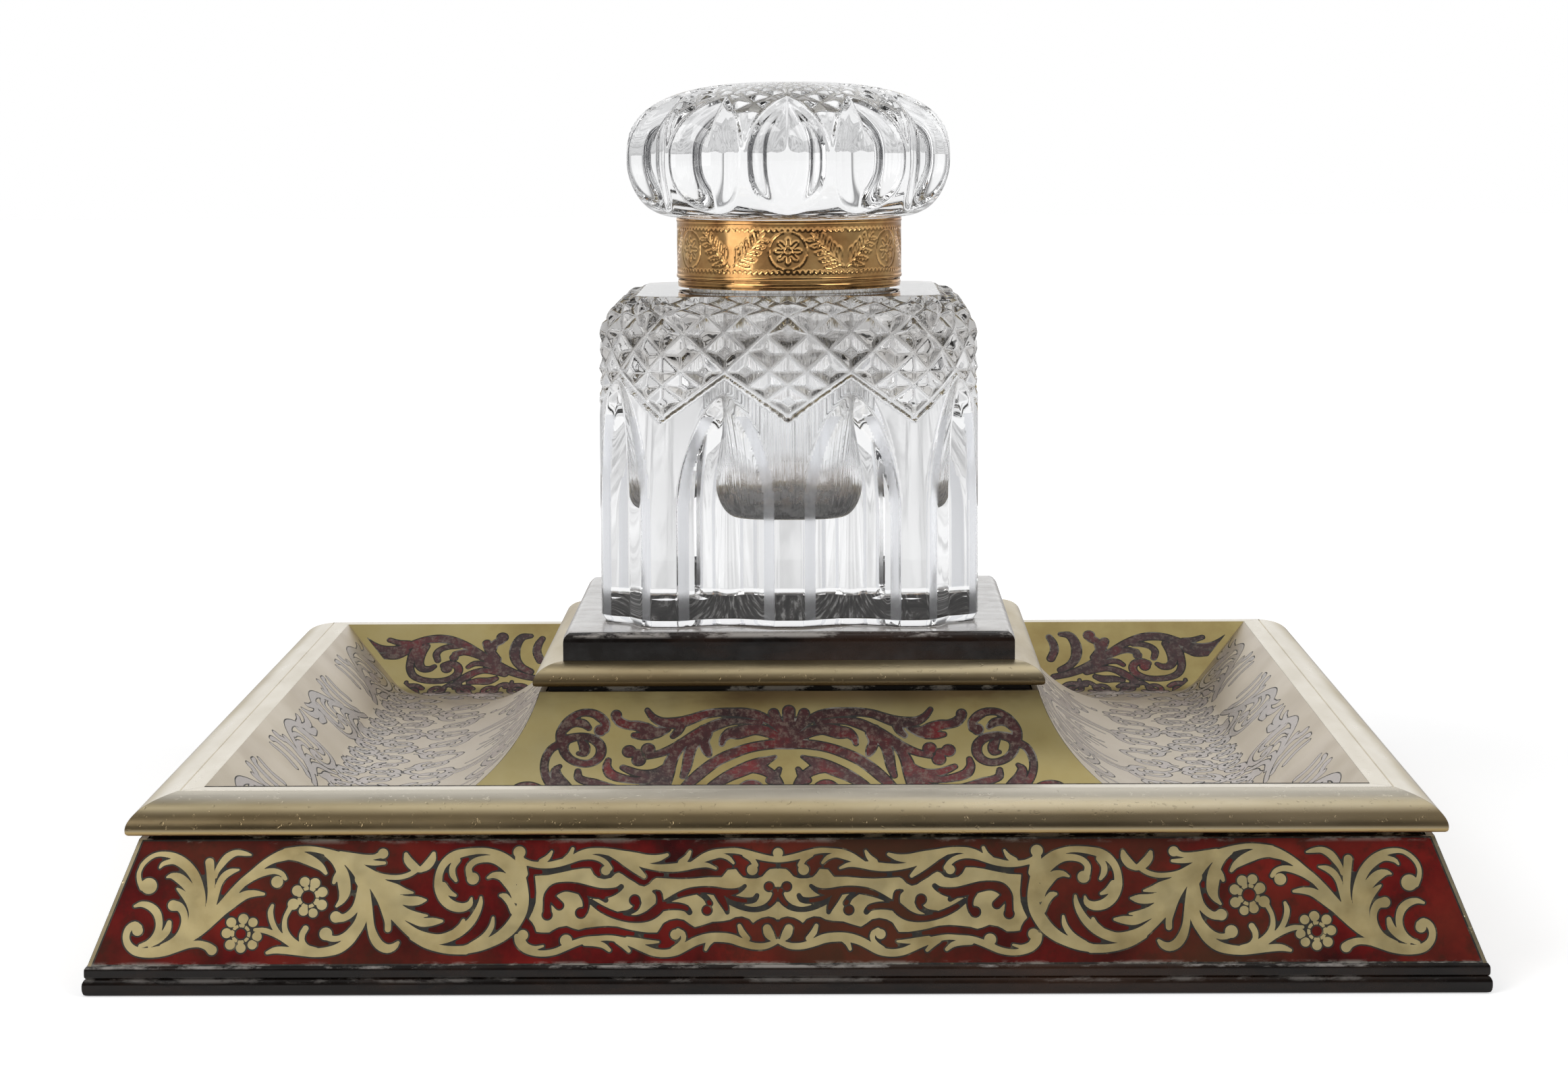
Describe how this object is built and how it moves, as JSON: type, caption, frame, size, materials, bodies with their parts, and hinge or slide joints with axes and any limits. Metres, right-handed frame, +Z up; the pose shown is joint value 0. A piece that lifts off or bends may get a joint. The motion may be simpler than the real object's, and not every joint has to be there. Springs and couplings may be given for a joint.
{
  "type": "desk inkstand",
  "caption": "Square desk inkstand with sloping marquetry sides, a dished pen tray round a pedestal, and a cut-glass ink bottle with a hinged glass lid.",
  "frame": {"origin": "middle of the base's underside, where it rests", "axes": "+Z up, -Y towards the front, +X to the right seen from the front; the lid's hinge is at the back, on +Y"},
  "size_m": [0.254, 0.254, 0.1634],
  "materials": {
    "ebonised": "black polish, worn at the edges",
    "shell_marquetry": "red tortoiseshell inlaid with brass scrolls, polished",
    "brass_marquetry": "brass inlaid with red shell scrolls, satin",
    "brass": "aged satin brass",
    "gilt": "gilt, engraved, polished edges",
    "ground_wood": "planed, unfinished",
    "baize": "napped wool",
    "cut_glass": "clear, cut and polished",
    "plaster": "matt white cement"
  },
  "bodies": {
    "base": {"plinth_bead_front": "ebonised", "plinth_bead_right": "ebonised", "plinth_bead_back": "ebonised", "plinth_bead_left": "ebonised", "plinth_fillet_front": "ebonised", "plinth_fillet_right": "ebonised", "plinth_fillet_back": "ebonised", "plinth_fillet_left": "ebonised", "side_panel_front": "shell_marquetry", "side_panel_right": "shell_marquetry", "side_panel_back": "shell_marquetry", "side_panel_left": "shell_marquetry", "corner_string_front": "brass", "corner_string_right": "brass", "corner_string_back": "brass", "corner_string_left": "brass", "rim_moulding_front": "brass", "rim_moulding_right": "brass", "rim_moulding_back": "brass", "rim_moulding_left": "brass", "tray_sheet_front": "brass_marquetry", "tray_sheet_right": "brass_marquetry", "tray_sheet_back": "brass_marquetry", "tray_sheet_left": "brass_marquetry", "cap_moulding_front": "brass", "cap_moulding_right": "brass", "cap_moulding_back": "brass", "cap_moulding_left": "brass", "carcase": "ground_wood", "bottom_board": "ground_wood", "baize_pad": "baize", "seat_block": "ebonised"},
    "bottle": {"bottle": "cut_glass", "neck_plaster": "plaster", "neck_ring": "gilt", "hinge_pin": "gilt"},
    "lid": {"lid_collar": "gilt", "lid_plaster": "plaster", "lid_glass": "cut_glass"}
  },
  "joints": [
    {"name": "bottle_lift", "type": "slide", "parent": "base", "child": "bottle", "axis": [0, 0, 1], "range_m": [0, 0.06]},
    {"name": "lid_hinge", "type": "hinge", "parent": "bottle", "child": "lid", "pos_m": [0, 0.0255, 0.12285], "axis": [-1, 0, 0], "range_deg": [0, 105]}
  ]
}
